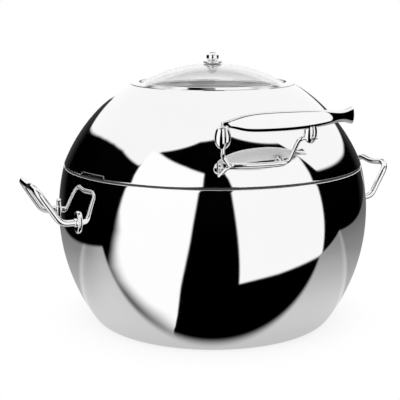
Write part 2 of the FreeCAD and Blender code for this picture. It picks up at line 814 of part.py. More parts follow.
def radial_turn(name):
    """Turns Z outward from the lid's centre, towards the back and up."""
    return Rotation(Vector(1, 0, 0), number(ARM_SCREWS[name]) - 90)


def radial_place(item, name, reach):
    """Puts an item at a distance from the lid's centre, pointing outward."""
    angle = ARM_SCREWS[name]
    return place(item, "0", f"({reach}) * cos({angle})", f"lid_centre + ({reach}) * sin({angle})",
                 radial_turn(name))


def radial_cylinder(label, radius, name):
    item = doc.addObject("Part::Cylinder", label)
    bind(item, "Radius", radius)
    bind(item, "Height", "lid_wall + screw_grip / 2")
    return radial_place(item, name, "lid_inner - screw_grip / 4")


def knuckle(label, start, end):
    return cylinder(label, "knuckle_radius", f"({end}) - ({start})", ALONG_X, start, "hinge_y", "hinge_z")


def upright_tab(label, outline, depth):
    """A plate with the given outline seen from the front; its back face lies on the hinge's line."""
    body = doc.addObject("PartDesign::Body", label)
    sketch = sketch_outline(body, "XZ_Plane", outline)
    pad = body.newObject("PartDesign::Pad", label + "_pad")
    pad.Profile = sketch
    bind(pad, "Length", depth)
    place(body, y="hinge_y")
    return body


def bracket_block(top):
    """The bracket's foot, with rounded lower corners and a softened back edge."""
    body = upright_tab("bracket_block", [
        ("-bracket_half", "bracket_low + bracket_corner", LEFT, "bracket_corner"),
        ("bracket_corner - bracket_half", "bracket_low"),
        ("bracket_half - bracket_corner", "bracket_low", LEFT, "bracket_corner"),
        ("bracket_half", "bracket_low + bracket_corner"),
        ("bracket_half", top),
        ("-bracket_half", top),
    ], "hinge_y - body_radius / 2")
    doc.recompute()
    pad = body.Tip
    back = max(range(len(pad.Shape.Faces)), key=lambda i: pad.Shape.Faces[i].CenterOfMass.y)
    rounded = body.newObject("PartDesign::Fillet", "bracket_fillet")
    rounded.Base = (pad, [f"Face{back + 1}"])
    bind(rounded, "Radius", "bracket_edge")
    return body


def hinge_body_side(outer, inner):
    low_top = "hinge_z - knuckle_radius - bracket_relief"
    pieces = [cut("bracket_saddle_block", bracket_block(low_top), outer)]
    for name, start, end in (("left", "-bracket_half", "-ear_inner"), ("right", "ear_inner", "bracket_half")):
        pieces.append(box(f"bracket_ear_{name}", (start, end), ("hinge_y - knuckle_radius", "hinge_y"),
                          (f"{low_top} - bracket_edge", "hinge_z")))
        pieces.append(knuckle(f"bracket_knuckle_{name}", start, end))
    bores = [cylinder("bracket_pin_bore", "pin_radius + fit_gap", "2 * bracket_half", ALONG_X,
                      "-bracket_half", "hinge_y", "hinge_z")]
    screws = []
    saddles = []
    length = "body_radius + screw_grip / 2 - bracket_saddle"
    for column in (-1, 1):
        spot = (f"{column} * bracket_screw_half", "bracket_saddle", "bracket_screw_height")
        bores.append(cylinder(f"bracket_tap_{column}", "screw_radius + fit_gap", f"{length} + fit_gap",
                              ALONG_Y, *spot))
        screws.append(place(lathe(f"bracket_screw_{column}", screw_outline(length)), *spot, ALONG_Y))
        saddles.append(saddle(f"bracket_washer_{column}", inner, ALONG_Y, *spot))
    node(cut("hinge_bracket", fuse("bracket_form", *pieces), *bores))
    node(group("bracket_screws", *screws))
    node(group("bracket_washers", *saddles))
    node(cylinder("hinge_pin", "pin_radius", "2 * (bracket_half + cap_thick)", ALONG_X,
                  "-bracket_half - cap_thick", "hinge_y", "hinge_z"))
    cap = place(lathe("hinge_cap_right", [
        ("pin_radius + fit_gap", "0"),
        ("cap_radius", "0"),
        ("cap_radius", "cap_thick - cap_round", LEFT, "cap_round"),
        ("cap_radius - cap_round", "cap_thick"),
        ("pin_radius + fit_gap", "cap_thick"),
    ]), "bracket_half", "hinge_y", "hinge_z", ALONG_X)
    node(group("hinge_caps", cap, mirror_x("hinge_cap_left", cap)))


def hinge_lid_side():
    half = ("-knuckle_half", "knuckle_half")
    keep_out = sphere("lid_keep_out", "lid_arc + fit_gap")
    tab = upright_tab("arm_tab", [
        ("-knuckle_half", "hinge_z"),
        ("knuckle_half", "hinge_z"),
        ("knuckle_half", "arm_top - arm_corner", LEFT, "arm_corner"),
        ("knuckle_half - arm_corner", "arm_top"),
        ("arm_corner - knuckle_half", "arm_top", LEFT, "arm_corner"),
        ("-knuckle_half", "arm_top - arm_corner"),
    ], "hinge_y - lid_arc / 2")
    strip = common("arm_strip", tab, sphere("arm_skin", "lid_arc + arm_thick"))
    web = box("arm_web", half, ("edge_radius - knuckle_radius", "hinge_y"),
              ("hinge_z", "hinge_z + knuckle_radius"))
    form = cut("arm_form", fuse("arm_fused", strip, web), keep_out)
    arm = fuse("arm_with_knuckle", form, knuckle("arm_knuckle", *half))
    bores = [cylinder("arm_pin_bore", "pin_radius + pin_gap", "2 * knuckle_half", ALONG_X,
                      "-knuckle_half", "hinge_y", "hinge_z")]
    screws = []
    washers = []
    seat = "lid_inner - washer_thick - fit_gap - saddle_radius^2 / (2 * lid_inner)"
    length = f"lid_arc + arm_thick - screw_end - ({seat})"
    for name in ARM_SCREWS:
        tap = doc.addObject("Part::Cylinder", f"arm_tap_{name}")
        bind(tap, "Radius", "screw_radius + fit_gap")
        bind(tap, "Height", f"{length} + fit_gap")
        bores.append(radial_place(tap, name, seat))
        screws.append(radial_place(lathe(f"arm_screw_{name}", screw_outline(length)), name, seat))
        washer = ring(f"arm_washer_{name}", "screw_radius + fit_gap", "saddle_radius", "0", "washer_thick")
        washers.append(radial_place(washer, name, seat))
    node(cut("hinge_arm", arm, *bores))
    node(group("arm_screws", *screws))
    node(group("arm_washers", *washers))


def check_document():
    doc.recompute()
    for item in doc.Objects:
        if "Invalid" in item.State or "Error" in item.State:
            raise RuntimeError(f"{item.Label} failed: {item.State}")
    for item in nodes:
        if item.Shape.isNull() or not item.Shape.isValid() or not item.Shape.Solids:
            raise RuntimeError(f"{item.Label} has no valid solid")


def write_nodes():
    os.makedirs("parts", exist_ok=True)
    for item in nodes:
        solids = item.Shape.Solids
        shape = solids[0] if len(solids) == 1 else Part.makeCompound(solids)
        shape.exportStep(f"parts/{item.Label}.step")
        print(f"{item.Label}: {len(solids)} solids, {shape.Volume / 1000:.2f} cm3")


outer_barrel = barrel("body_outside", "(side_arc + fit_gap)")
inner_barrel = barrel("body_inside", "(inner_arc - fit_gap)")
body_pieces(outer_barrel, inner_barrel)
side_handles(outer_barrel, inner_barrel)
lid_pieces()
window()
knob_pieces()
lid_handle()
bail()
hinge_body_side(outer_barrel, inner_barrel)
hinge_lid_side()
check_document()
write_nodes()
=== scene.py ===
import json
import math

import bmesh
import bpy
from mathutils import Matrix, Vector


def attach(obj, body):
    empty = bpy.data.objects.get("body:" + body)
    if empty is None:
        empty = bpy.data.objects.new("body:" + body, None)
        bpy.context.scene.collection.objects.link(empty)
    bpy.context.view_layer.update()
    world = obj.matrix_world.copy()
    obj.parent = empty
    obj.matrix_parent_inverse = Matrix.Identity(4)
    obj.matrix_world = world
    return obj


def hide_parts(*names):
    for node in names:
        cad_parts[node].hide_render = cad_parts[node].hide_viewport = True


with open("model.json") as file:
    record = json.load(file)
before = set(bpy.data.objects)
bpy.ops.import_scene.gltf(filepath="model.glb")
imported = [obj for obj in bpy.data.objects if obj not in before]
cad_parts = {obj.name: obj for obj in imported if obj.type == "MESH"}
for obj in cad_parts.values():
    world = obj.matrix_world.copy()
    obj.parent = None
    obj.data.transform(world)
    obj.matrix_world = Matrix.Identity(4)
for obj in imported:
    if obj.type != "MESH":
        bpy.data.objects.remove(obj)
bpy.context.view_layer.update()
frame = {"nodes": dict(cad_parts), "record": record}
nodes = frame["nodes"]
scene = bpy.context.scene
print("frame loaded:", len(nodes), "nodes")

nodeGap = 220              # spacing of shader nodes in the editor
near = 1e-6                # metres within which a vertex counts as lying on a level
mergeGap = 0.000005        # metres within which two vertices become one
noiseRange = (0.3, 0.7)    # where most of a noise texture's values lie


# node helpers
def addNode(tree, kind, **settings):
    node = tree.nodes.new(kind)
    node.location.x = nodeGap * len(tree.nodes)
    for name, value in settings.items():
        setattr(node, name, value)
    return node


def isSocket(value):
    return hasattr(value, "is_linked")


def feed(tree, socket, value):
    if isSocket(value):
        tree.links.new(value, socket)
    else:
        socket.default_value = value


def sums(tree, operation, first, second=0.0):
    node = addNode(tree, "ShaderNodeMath", operation=operation)
    feed(tree, node.inputs[0], first)
    feed(tree, node.inputs[1], second)
    return node.outputs[0]


def plus(tree, first, second):
    return sums(tree, "ADD", first, second)


def minus(tree, first, second):
    return sums(tree, "SUBTRACT", first, second)


def times(tree, first, second):
    return sums(tree, "MULTIPLY", first, second)


def larger(tree, first, second):
    return sums(tree, "MAXIMUM", first, second)


def measure(tree, operation, vector, other=None):
    # a vector's length, or its distance to or product with a fixed one
    node = addNode(tree, "ShaderNodeVectorMath", operation=operation)
    tree.links.new(vector, node.inputs[0])
    if other:
        node.inputs[1].default_value = other
    return node.outputs["Value"]


def blend(tree, factor, first, second):
    node = addNode(tree, "ShaderNodeMixShader")
    for socket, source in zip(node.inputs, (factor, first, second)):
        tree.links.new(source, socket)
    return node.outputs[0]


def remap(tree, value, fromLow, fromHigh, toLow=0.0, toHigh=1.0, kind="LINEAR"):
    node = addNode(tree, "ShaderNodeMapRange", interpolation_type=kind)
    feed(tree, node.inputs["Value"], value)
    feed(tree, node.inputs["From Min"], fromLow)
    feed(tree, node.inputs["From Max"], fromHigh)
    feed(tree, node.inputs["To Min"], toLow)
    feed(tree, node.inputs["To Max"], toHigh)
    return node.outputs["Result"]


def fade(tree, value, low, high):
    # 0 below low, 1 above high, smooth between; low may be the larger one
    return remap(tree, value, low, high, kind="SMOOTHSTEP")


def past(tree, value, edge, soft):
    # 1 where the value is past the edge, 0 before it
    before = times(tree, soft, -1.0) if isSocket(soft) else -soft
    return fade(tree, minus(tree, value, edge), before, soft)


def within(tree, value, low, high, soft):
    return times(tree, past(tree, value, low, soft), past(tree, high, value, soft))


def drawnCurve(tree, value, points, smooth=False):
    # a curve drawn through the given (x, y) points
    left, right = points[0][0], points[-1][0]
    low = min(y for x, y in points)
    high = max(y for x, y in points)
    node = addNode(tree, "ShaderNodeFloatCurve")
    curve = node.mapping.curves[0]
    while len(curve.points) < len(points):
        curve.points.new(0.5, 0.5)
    for spot, (x, y) in zip(curve.points, points):
        spot.location = ((x - left) / (right - left), (y - low) / (high - low))
        spot.handle_type = "AUTO" if smooth else "VECTOR"
    node.mapping.update()
    tree.links.new(remap(tree, value, left, right), node.inputs["Value"])
    return remap(tree, node.outputs[0], 0.0, 1.0, low, high)


def seenDirectly(tree, rays):
    # what the eye sees, also through the glass
    return larger(tree, rays.outputs["Is Camera Ray"], rays.outputs["Is Transmission Ray"])


# camera at the photograph's height and side
cameraSet = {
    "turn": -24.0,        # degrees round the kettle, 0 is the front
    "away": 1.300,
    "height": 0.41726,
    "pitch": 0.199,       # radians down
    "yaw": 0.01237,       # puts the kettle a little right of the middle
    "lens": 90.72,
    "sensor": 36.0,
    "clip": 0.05,
}


def placeCamera(spec):
    data = bpy.data.cameras.new("photoCamera")
    data.sensor_width = spec["sensor"]
    data.lens = spec["lens"]
    data.clip_start = spec["clip"]
    camera = bpy.data.objects.new("photoCamera", data)
    scene.collection.objects.link(camera)
    turn = math.radians(spec["turn"])
    away = spec["away"]
    camera.location = (away * math.sin(turn), -away * math.cos(turn), spec["height"])
    camera.rotation_euler = (math.pi / 2 - spec["pitch"], 0.0, turn + spec["yaw"])
    scene.camera = camera


placeCamera(cameraSet)
print("camera placed")


# studio: what the polished steel mirrors, as directions in degrees (turn, rise)
studioSet = {
    "paper": 1.0,         # white behind the kettle, as the camera sees it
    "fill": 1.05,         # even light on everything that is not a mirror
    "ceiling": 1.06,      # brightness of the ceiling and the two cards in the steel
    "leftCard": 1.14,
    "rightCard": 1.08,
    "softEdge": 1.0,      # degrees
    "skyline": (          # turn, and the rise above which the ceiling begins
        (-180, 11.6), (-171, 12.9), (-163, 17.4), (-150, 25.5), (-140, 30.6), (-130, 34.5),
        (-117, 37.5), (-92, 37.5), (-81, 51), (-42, 66), (-6, 70), (8, 69), (55, 50), (61, 38),
        (68, 25), (98, 16), (108, 13), (121, 10), (132, 8), (142, 5.5), (147, 3), (149, -6),
        (156, -9), (164, -5), (170, 5), (174, 9.9), (180, 11.6)),
    # the cards' sides are drawn as rise and turn, their ends as turn and rise
    "leftCardRight": (
        (-90, -140), (-71, -100), (-65, -76), (-55, -60), (-40, -50), (-18, -41), (0, -37),
        (17, -34), (33, -32), (46, -31), (90, -31)),
    "leftCardLeft": (
        (-90, -85), (-58, -92), (-50, -97), (-42, -101), (-35, -104.5), (-28, -105),
        (-20, -100.5), (-10, -95), (0, -94), (12, -91), (90, -91)),
    "leftCardSoft": (     # how soft its left side is at each rise
        (-90, 30), (-58, 22), (-50, 14), (-42, 11), (-28, 10), (-20, 6), (-10, 5), (0, 2),
        (12, 1), (90, 1)),
    "leftCardTop": ((-180, 50), (-81, 50), (-50, 46.5), (-31, 43), (180, 43)),
    "rightCardLeft": (
        (-90, -1), (-39, -1.5), (17, -10), (25, -8), (33, -6), (46, -15), (90, -15)),
    "rightCardRight": ((-90, 66), (-22, 66), (10, 60), (37, 61), (90, 61)),
    "rightCardTop": ((-180, 47), (-15, 47), (20, 42), (57, 38), (180, 38)),
    "rightCardLow": ((-180, -39), (-2, -39), (30, -32), (66, -22), (180, -22)),
    # dark flags high behind: turn from, to, rise from, to, blur
    "flags": ((134, 178, 31, 47, 4), (154, 172, 50, 60, 2)),
    "dusk": (156, -11, 0.055),    # the far wall is a little lighter: turn, rise, brightness
    "duskReach": 0.72,            # cosine of the angle at which that ends
}


def lightStudio(spec):
    world = bpy.data.worlds.new("studio")
    scene.world = world
    world.use_nodes = True
    tree = world.node_tree
    tree.nodes.clear()
    toward = addNode(tree, "ShaderNodeTexCoord").outputs["Generated"]
    split = addNode(tree, "ShaderNodeSeparateXYZ")
    tree.links.new(toward, split.inputs[0])
    back = times(tree, split.outputs[1], -1.0)
    turn = sums(tree, "DEGREES", sums(tree, "ARCTAN2", split.outputs[0], back))
    rise = sums(tree, "DEGREES", sums(tree, "ARCSINE", split.outputs[2]))
    soft = spec["softEdge"]

    def line(name, along, smooth=False):
        return drawnCurve(tree, along, spec[name], smooth)

    def shine(strength):
        background = addNode(tree, "ShaderNodeBackground")
        background.inputs["Color"].default_value = (1.0, 1.0, 1.0, 1.0)
        feed(tree, background.inputs["Strength"], strength)
        return background.outputs[0]

    ceiling = past(tree, rise, line("skyline", turn), soft)
    for first, last, low, high, blur in spec["flags"]:
        breadth = within(tree, turn, first, last, soft)
        flag = times(tree, breadth, within(tree, rise, low, high, blur))
        ceiling = times(tree, ceiling, minus(tree, 1.0, flag))
    left = past(tree, turn, line("leftCardLeft", rise), line("leftCardSoft", rise))
    left = times(tree, left, past(tree, line("leftCardRight", rise, True), turn, soft))
    left = times(tree, left, past(tree, line("leftCardTop", turn), rise, soft))
    right = within(tree, turn, line("rightCardLeft", rise), line("rightCardRight", rise), soft)
    tall = within(tree, rise, line("rightCardLow", turn), line("rightCardTop", turn), soft)
    right = times(tree, right, tall)
    left = times(tree, left, spec["leftCard"])
    right = times(tree, right, spec["rightCard"])
    ceiling = times(tree, ceiling, spec["ceiling"])
    mirrored = larger(tree, larger(tree, left, right), ceiling)
    away, up, level = spec["dusk"]
    away, up = math.radians(away), math.radians(up)
    wall = (math.sin(away) * math.cos(up), -math.cos(away) * math.cos(up), math.sin(up))
    facing = measure(tree, "DOT_PRODUCT", toward, wall)
    dusk = times(tree, fade(tree, facing, spec["duskReach"], 1.0), level)
    mirrored = larger(tree, mirrored, dusk)

    rays = addNode(tree, "ShaderNodeLightPath")
    light = blend(tree, rays.outputs["Is Glossy Ray"], shine(spec["fill"]), shine(mirrored))
    light = blend(tree, seenDirectly(tree, rays), light, shine(spec["paper"]))
    out = addNode(tree, "ShaderNodeOutputWorld")
    tree.links.new(light, out.inputs[0])


lightStudio(studioSet)

lampSet = {
    "place": (-1.2, -1.4, 2.2),
    "aim": (0, 0, 0.15),
    "size": 1.6,
    "power": 14.0,
}


def hangLamp(spec):
    data = bpy.data.lights.new("softLamp", "AREA")
    data.shape = "SQUARE"
    data.size = spec["size"]
    data.energy = spec["power"]
    lamp = bpy.data.objects.new("softLamp", data)
    scene.collection.objects.link(lamp)
    lamp.location = spec["place"]
    beam = Vector(spec["aim"]) - Vector(spec["place"])
    lamp.rotation_euler = beam.to_track_quat("-Z", "Y").to_euler()
    lamp.visible_glossy = False


hangLamp(lampSet)

floorSet = {
    "half": 6.0,
    "paper": (0.95, 0.95, 0.95, 1.0),
    "nearPaper": (0.14, 0.24),    # metres over which the floor turns into the white background
    "shadow": 0.22,               # how much of the kettle's shadow is kept beside it
    # the rest is the sheet under the kettle, as the steel mirrors it; it glows, and its light and
    # shade are painted
    "turn": -24.0,                # it lies square to the camera
    "front": -0.163,
    "frontSoft": 0.008,
    "left": -0.51,
    "right": 0.76,
    "sideSoft": 0.024,
    "corner": (0.70, 1.68),       # the right front corner is cut off: side at the middle, slope
    "cornerSoft": 0.016,
    "paintedLightLine": (0.017, 0.025, 0.032, 0.11),    # a painted lighter line: depth, slope, half width, brightness
    "behind": 0.20,               # painted shadow: how much darker it is behind that line
    "paintedGlow": 0.13,                 # painted glow, added towards the sheet's left front
    "paintedGlowDepth": (-0.03, -0.15),
    "paintedGlowSide": (-0.10, -0.25),
    "middle": (0.0, -0.02, 0.0),  # where the distances of the next table start
    "mirrored": (                 # distance, brightness of a painted pool of light, a little darker right at the foot
        (0.0, 0.56), (0.13, 0.60), (0.145, 0.63), (0.16, 0.67), (0.18, 0.68), (0.20, 0.67),
        (0.24, 0.60), (0.30, 0.50), (0.36, 0.435), (0.44, 0.345), (0.54, 0.30), (0.66, 0.255),
        (0.85, 0.205), (1.3, 0.175), (2.5, 0.15)),
}


def layFloor(spec):
    bpy.ops.object.select_all(action="DESELECT")
    bpy.ops.mesh.primitive_plane_add(size=2 * spec["half"], location=(0, 0, 0))
    floor = bpy.context.object
    floor.name = "floor"
    material = bpy.data.materials.new("floorPaper")
    material.use_nodes = True
    tree = material.node_tree
    tree.nodes.clear()
    place = addNode(tree, "ShaderNodeTexCoord").outputs["Object"]
    rays = addNode(tree, "ShaderNodeLightPath")
    seen = seenDirectly(tree, rays)

    # to the eye it is white paper that keeps a little of the shadow near the kettle
    paper = addNode(tree, "ShaderNodeBsdfDiffuse")
    paper.inputs["Color"].default_value = spec["paper"]
    white = addNode(tree, "ShaderNodeEmission")
    beside = fade(tree, measure(tree, "LENGTH", place), *reversed(spec["nearPaper"]))
    shaded = times(tree, beside, spec["shadow"])
    bare = times(tree, minus(tree, 1.0, shaded), seen)
    toEye = blend(tree, bare, paper.outputs[0], white.outputs[0])

    # in the steel it is a glowing sheet with a painted pool of light that grows darker away from
    # the kettle, and it ends
    turn = math.radians(spec["turn"])
    depth = measure(tree, "DOT_PRODUCT", place, (-math.sin(turn), math.cos(turn), 0))
    side = measure(tree, "DOT_PRODUCT", place, (math.cos(turn), math.sin(turn), 0))
    sheet = past(tree, depth, spec["front"], spec["frontSoft"])
    breadth = within(tree, side, spec["left"], spec["right"], spec["sideSoft"])
    sheet = times(tree, sheet, breadth)
    limit, slope = spec["corner"]
    corner = minus(tree, side, times(tree, depth, slope))
    sheet = times(tree, sheet, past(tree, limit, corner, spec["cornerSoft"]))
    # painted pool of light: brightness by distance from the middle, a little darker right at the
    # foot
    bright = drawnCurve(tree, measure(tree, "DISTANCE", place, spec["middle"]), spec["mirrored"])
    # a painted lighter line across the sheet, with painted shadow behind it
    start, slope, half, lift = spec["paintedLightLine"]
    paintedLightLine = minus(tree, depth, plus(tree, times(tree, side, slope), start))
    behind = times(tree, fade(tree, paintedLightLine, 0.0, half), spec["behind"])
    bright = times(tree, bright, minus(tree, 1.0, behind))
    crest = times(tree, fade(tree, paintedLightLine, -half, 0.0), fade(tree, paintedLightLine, half, 0.0))
    bright = plus(tree, bright, times(tree, crest, lift))
    # painted glow towards the sheet's left front
    paintedGlow = times(tree, fade(tree, depth, *spec["paintedGlowDepth"]), fade(tree, side, *spec["paintedGlowSide"]))
    bright = plus(tree, bright, times(tree, paintedGlow, spec["paintedGlow"]))
    # the sheet glows with the painted light and shade above, though it is no lamp
    pale = addNode(tree, "ShaderNodeEmission")
    tree.links.new(bright, pale.inputs["Strength"])
    clear = addNode(tree, "ShaderNodeBsdfTransparent")
    inSteel = blend(tree, sheet, clear.outputs[0], pale.outputs[0])

    shiny = times(tree, rays.outputs["Is Glossy Ray"], minus(tree, 1.0, seen))
    out = addNode(tree, "ShaderNodeOutputMaterial")
    tree.links.new(blend(tree, shiny, toEye, inSteel), out.inputs["Surface"])
    floor.data.materials.append(material)


layFloor(floorSet)
scene.view_settings.view_transform = "Standard"
print("studio lit")


# finishes
def startFinish(name):
    material = bpy.data.materials.new(name)
    material.use_nodes = True
    tree = material.node_tree
    place = addNode(tree, "ShaderNodeTexCoord").outputs["Object"]
    return material, tree, tree.nodes["Principled BSDF"].inputs, place


def grain(tree, place, scale, stretch=(1, 1, 1), detail=4.0):
    mapping = addNode(tree, "ShaderNodeMapping")
    mapping.inputs["Scale"].default_value = stretch
    tree.links.new(place, mapping.inputs["Vector"])
    noise = addNode(tree, "ShaderNodeTexNoise")
    noise.inputs["Scale"].default_value = scale
    noise.inputs["Detail"].default_value = detail
    tree.links.new(mapping.outputs["Vector"], noise.inputs["Vector"])
    return noise.outputs["Fac"]


def spreadTo(tree, value, low, high):
    return remap(tree, value, *noiseRange, low, high)


def tint(tree, value, first, second):
    mix = addNode(tree, "ShaderNodeMix", data_type="RGBA")
    feed(tree, mix.inputs["Factor"], value)
    mix.inputs["A"].default_value = (*first, 1.0)
    mix.inputs["B"].default_value = (*second, 1.0)
    return mix.outputs["Result"]


def relief(tree, value, strength, depth):
    bump = addNode(tree, "ShaderNodeBump")
    bump.inputs["Strength"].default_value = strength
    bump.inputs["Distance"].default_value = depth
    tree.links.new(value, bump.inputs["Height"])
    return bump.outputs["Normal"]


steelSet = {
    "light": (0.88, 0.88, 0.885),
    "deep": (0.85, 0.85, 0.855),
    "hazeScale": 9.0,
    "lineScale": 260.0,
    "lineStretch": (1, 1, 6),
    "hazeShare": 0.5,         # of the roughness; fine lines give the rest
    "roughness": (0.02, 0.05),
    "rodRoughness": (0.05, 0.08),
    "relief": 0.05,
    "waves": 0.00002,         # metres
}


def polishedSteel(spec, name="polishedSteel"):
    material, tree, sockets, place = startFinish(name)
    sockets["Metallic"].default_value = 1.0
    haze = grain(tree, place, spec["hazeScale"])
    lines = grain(tree, place, spec["lineScale"], spec["lineStretch"])
    tree.links.new(tint(tree, haze, spec["light"], spec["deep"]), sockets["Base Color"])
    share = spec["hazeShare"]
    mixed = plus(tree, times(tree, haze, share), times(tree, lines, 1 - share))
    tree.links.new(spreadTo(tree, mixed, *spec["roughness"]), sockets["Roughness"])
    tree.links.new(relief(tree, haze, spec["relief"], spec["waves"]), sockets["Normal"])
    return material


castSet = {
    "hazeScale": 30.0,
    "pitScale": 900.0,
    "relief": 0.04,
    "pits": 0.00002,          # metres
    "satinAndPaintedLight": 0.95,            # how far it turns from mirror to pale satin under and behind: a rougher finish, and painted lighter there
    # painted lighter tones for the side that faces down or back
    "satinPaintedLight": (0.98, 0.98, 0.98),
    "satinPaintedDeep": (0.95, 0.95, 0.95),
    "satinRoughness": 0.36,   # added there
}


def castSteel(spec, steel):
    material, tree, sockets, place = startFinish("castSteel")
    haze = grain(tree, place, spec["hazeScale"])
    pits = grain(tree, place, spec["pitScale"])
    mark = addNode(tree, "ShaderNodeAttribute", attribute_name="underside")
    under = mark.outputs["Fac"]
    # the side that faces down or back turns pale: a rougher finish, and a painted lighter tone
    colour = addNode(tree, "ShaderNodeMix", data_type="RGBA")
    tree.links.new(under, colour.inputs["Factor"])
    tree.links.new(tint(tree, haze, steel["light"], steel["deep"]), colour.inputs["A"])
    tree.links.new(tint(tree, pits, spec["satinPaintedLight"], spec["satinPaintedDeep"]), colour.inputs["B"])
    tree.links.new(colour.outputs["Result"], sockets["Base Color"])
    tree.links.new(minus(tree, 1.0, times(tree, under, spec["satinAndPaintedLight"])), sockets["Metallic"])
    polish = spreadTo(tree, haze, *steel["roughness"])
    rough = plus(tree, polish, times(tree, under, spec["satinRoughness"]))
    tree.links.new(rough, sockets["Roughness"])
    tree.links.new(relief(tree, pits, spec["relief"], spec["pits"]), sockets["Normal"])
    return material


brushedSet = {
    "scale": 180.0,
    "detail": 6.0,
    "relief": 0.15,
    "lines": 0.00005,         # metres
    # each finish: light, deep, roughness, stretch of the lines
    "satinSteel": ((0.70, 0.70, 0.71), (0.62, 0.62, 0.63), (0.24, 0.34), (1, 1, 14)),
    "groundAlloy": ((0.60, 0.60, 0.61), (0.50, 0.50, 0.51), (0.30, 0.42), (1, 12, 1)),
    "paleSteel": ((0.92, 0.92, 0.92), (0.87, 0.87, 0.875), (0.34, 0.42), (1, 1, 14)),
}


def brushedMetal(spec, name):
    light, deep, roughness, stretch = spec[name]
    material, tree, sockets, place = startFinish(name)
    sockets["Metallic"].default_value = 1.0
    lines = grain(tree, place, spec["scale"], stretch, spec["detail"])
    tree.links.new(tint(tree, lines, light, deep), sockets["Base Color"])
    tree.links.new(spreadTo(tree, lines, *roughness), sockets["Roughness"])
    tree.links.new(relief(tree, lines, spec["relief"], spec["lines"]), sockets["Normal"])
    return material


siliconeSet = {
    "poreScale": 1400.0,
    "bloomScale": 30.0,
    "roughness": (0.48, 0.62),
    "relief": 0.25,
    "pores": 0.00005,         # metres
    # each finish: two tints that the bloom mixes
    "blackSilicone": ((0.028, 0.028, 0.03), (0.05, 0.05, 0.052)),
    "milkySilicone": ((0.91, 0.91, 0.90), (0.95, 0.95, 0.94)),
}


def softSilicone(spec, name):
    material, tree, sockets, place = startFinish(name)
    pores = grain(tree, place, spec["poreScale"])
    bloom = grain(tree, place, spec["bloomScale"])
    tree.links.new(tint(tree, bloom, *spec[name]), sockets["Base Color"])
    tree.links.new(spreadTo(tree, bloom, *spec["roughness"]), sockets["Roughness"])
    tree.links.new(relief(tree, pores, spec["relief"], spec["pores"]), sockets["Normal"])
    return material


glassSet = {
    "ior": 1.5,
    "wipeScale": 14.0,
    "wipeStretch": (1, 1, 3),
    "light": (0.995, 0.997, 0.996),
    "deep": (0.985, 0.988, 0.987),
    "roughness": (0.0, 0.012),
}


def clearGlass(spec):
    material, tree, sockets, place = startFinish("clearGlass")
    sockets["Transmission Weight"].default_value = 1.0
    sockets["IOR"].default_value = spec["ior"]
    wipe = grain(tree, place, spec["wipeScale"], spec["wipeStretch"])
    tree.links.new(tint(tree, wipe, spec["light"], spec["deep"]), sockets["Base Color"])
    tree.links.new(spreadTo(tree, wipe, *spec["roughness"]), sockets["Roughness"])
    return material


finishes = {
    "polished_steel": polishedSteel(steelSet),
    "satin_steel": brushedMetal(brushedSet, "satinSteel"),
    "base_alloy": brushedMetal(brushedSet, "groundAlloy"),
    "silicone": softSilicone(siliconeSet, "blackSilicone"),
    "window_glass": clearGlass(glassSet),
}
barFinish = castSteel(castSet, steelSet)
rodFinish = polishedSteel(dict(steelSet, roughness=steelSet["rodRoughness"]), "rodSteel")
paleFinish = brushedMetal(brushedSet, "paleSteel")
milkyFinish = softSilicone(siliconeSet, "milkySilicone")
for row in frame["record"]["subparts"]:
    nodes[row["node"]].data.materials[0] = finishes[row["material_slot"]]
for name in ("window_gasket", "knob_seal", "inner_seal"):
    nodes[name].data.materials[0] = milkyFinish
for name in ("knob_flange", "knob_washer", "knob_nut", "knob_stud"):
    nodes[name].data.materials[0] = paleFinish
print("finishes made")


# modelling helpers: every piece is worked in place, so its object stays at the origin
def freshStart():
    if bpy.context.object and bpy.context.object.mode == "EDIT":
        bpy.ops.object.mode_set(mode="OBJECT")
    bpy.ops.object.select_all(action="DESELECT")


def selectOnly(*pieces):
    # the first one becomes active
    bpy.ops.object.select_all(action="DESELECT")
    for piece in pieces:
        piece.select_set(True)
    bpy.context.view_layer.objects.active = pieces[0]


def editAll():
    bpy.ops.object.mode_set(mode="EDIT")
    bpy.ops.mesh.select_all(action="SELECT")


def leaveEdit():
    bpy.ops.object.mode_set(mode="OBJECT")
    return bpy.context.object


def applyPlace():
    bpy.ops.object.transform_apply(location=True, rotation=True, scale=True)


def finishPiece(name, body, slot, replaced, smooth, finish=None):
    piece = leaveEdit()
    piece.name = name
    selectOnly(piece)
    applyPlace()
    bpy.ops.object.shade_smooth_by_angle(angle=math.radians(smooth))
    piece.data.materials.clear()
    piece.data.materials.append(finish or finishes[slot])
    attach(piece, body)
    for node in replaced:
        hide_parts(node)


def editMesh():
    return bmesh.from_edit_mesh(bpy.context.object.data)


def pickVertices(test):
    bpy.ops.mesh.select_mode(type="VERT")
    bpy.ops.mesh.select_all(action="DESELECT")
    mesh = editMesh()
    for vertex in mesh.verts:
        if test(vertex):
            vertex.select_set(True)
    mesh.select_flush_mode()
    bmesh.update_edit_mesh(bpy.context.object.data)


def pickedIndices():
    mesh = editMesh()
    mesh.verts.ensure_lookup_table()
    return {vertex.index for vertex in mesh.verts if vertex.select}


def extrude(move=(0, 0, 0)):
    bpy.ops.mesh.extrude_region_move(TRANSFORM_OT_translate={"value": move})


def stretch(scale, hub):
    bpy.ops.transform.resize(value=scale, center_override=hub)


def applyModifier(kind, **settings):
    piece = leaveEdit()
    bpy.ops.object.modifier_add(type=kind)
    modifier = piece.modifiers[-1]
    for name, value in settings.items():
        setattr(modifier, name, value)
    bpy.ops.object.modifier_apply(modifier=modifier.name)


def faceOutwards():
    bpy.ops.mesh.select_all(action="SELECT")
    bpy.ops.mesh.normals_make_consistent(inside=False)


def cleanUp():
    bpy.ops.mesh.select_all(action="SELECT")
    bpy.ops.mesh.remove_doubles(threshold=mergeGap)
    faceOutwards()


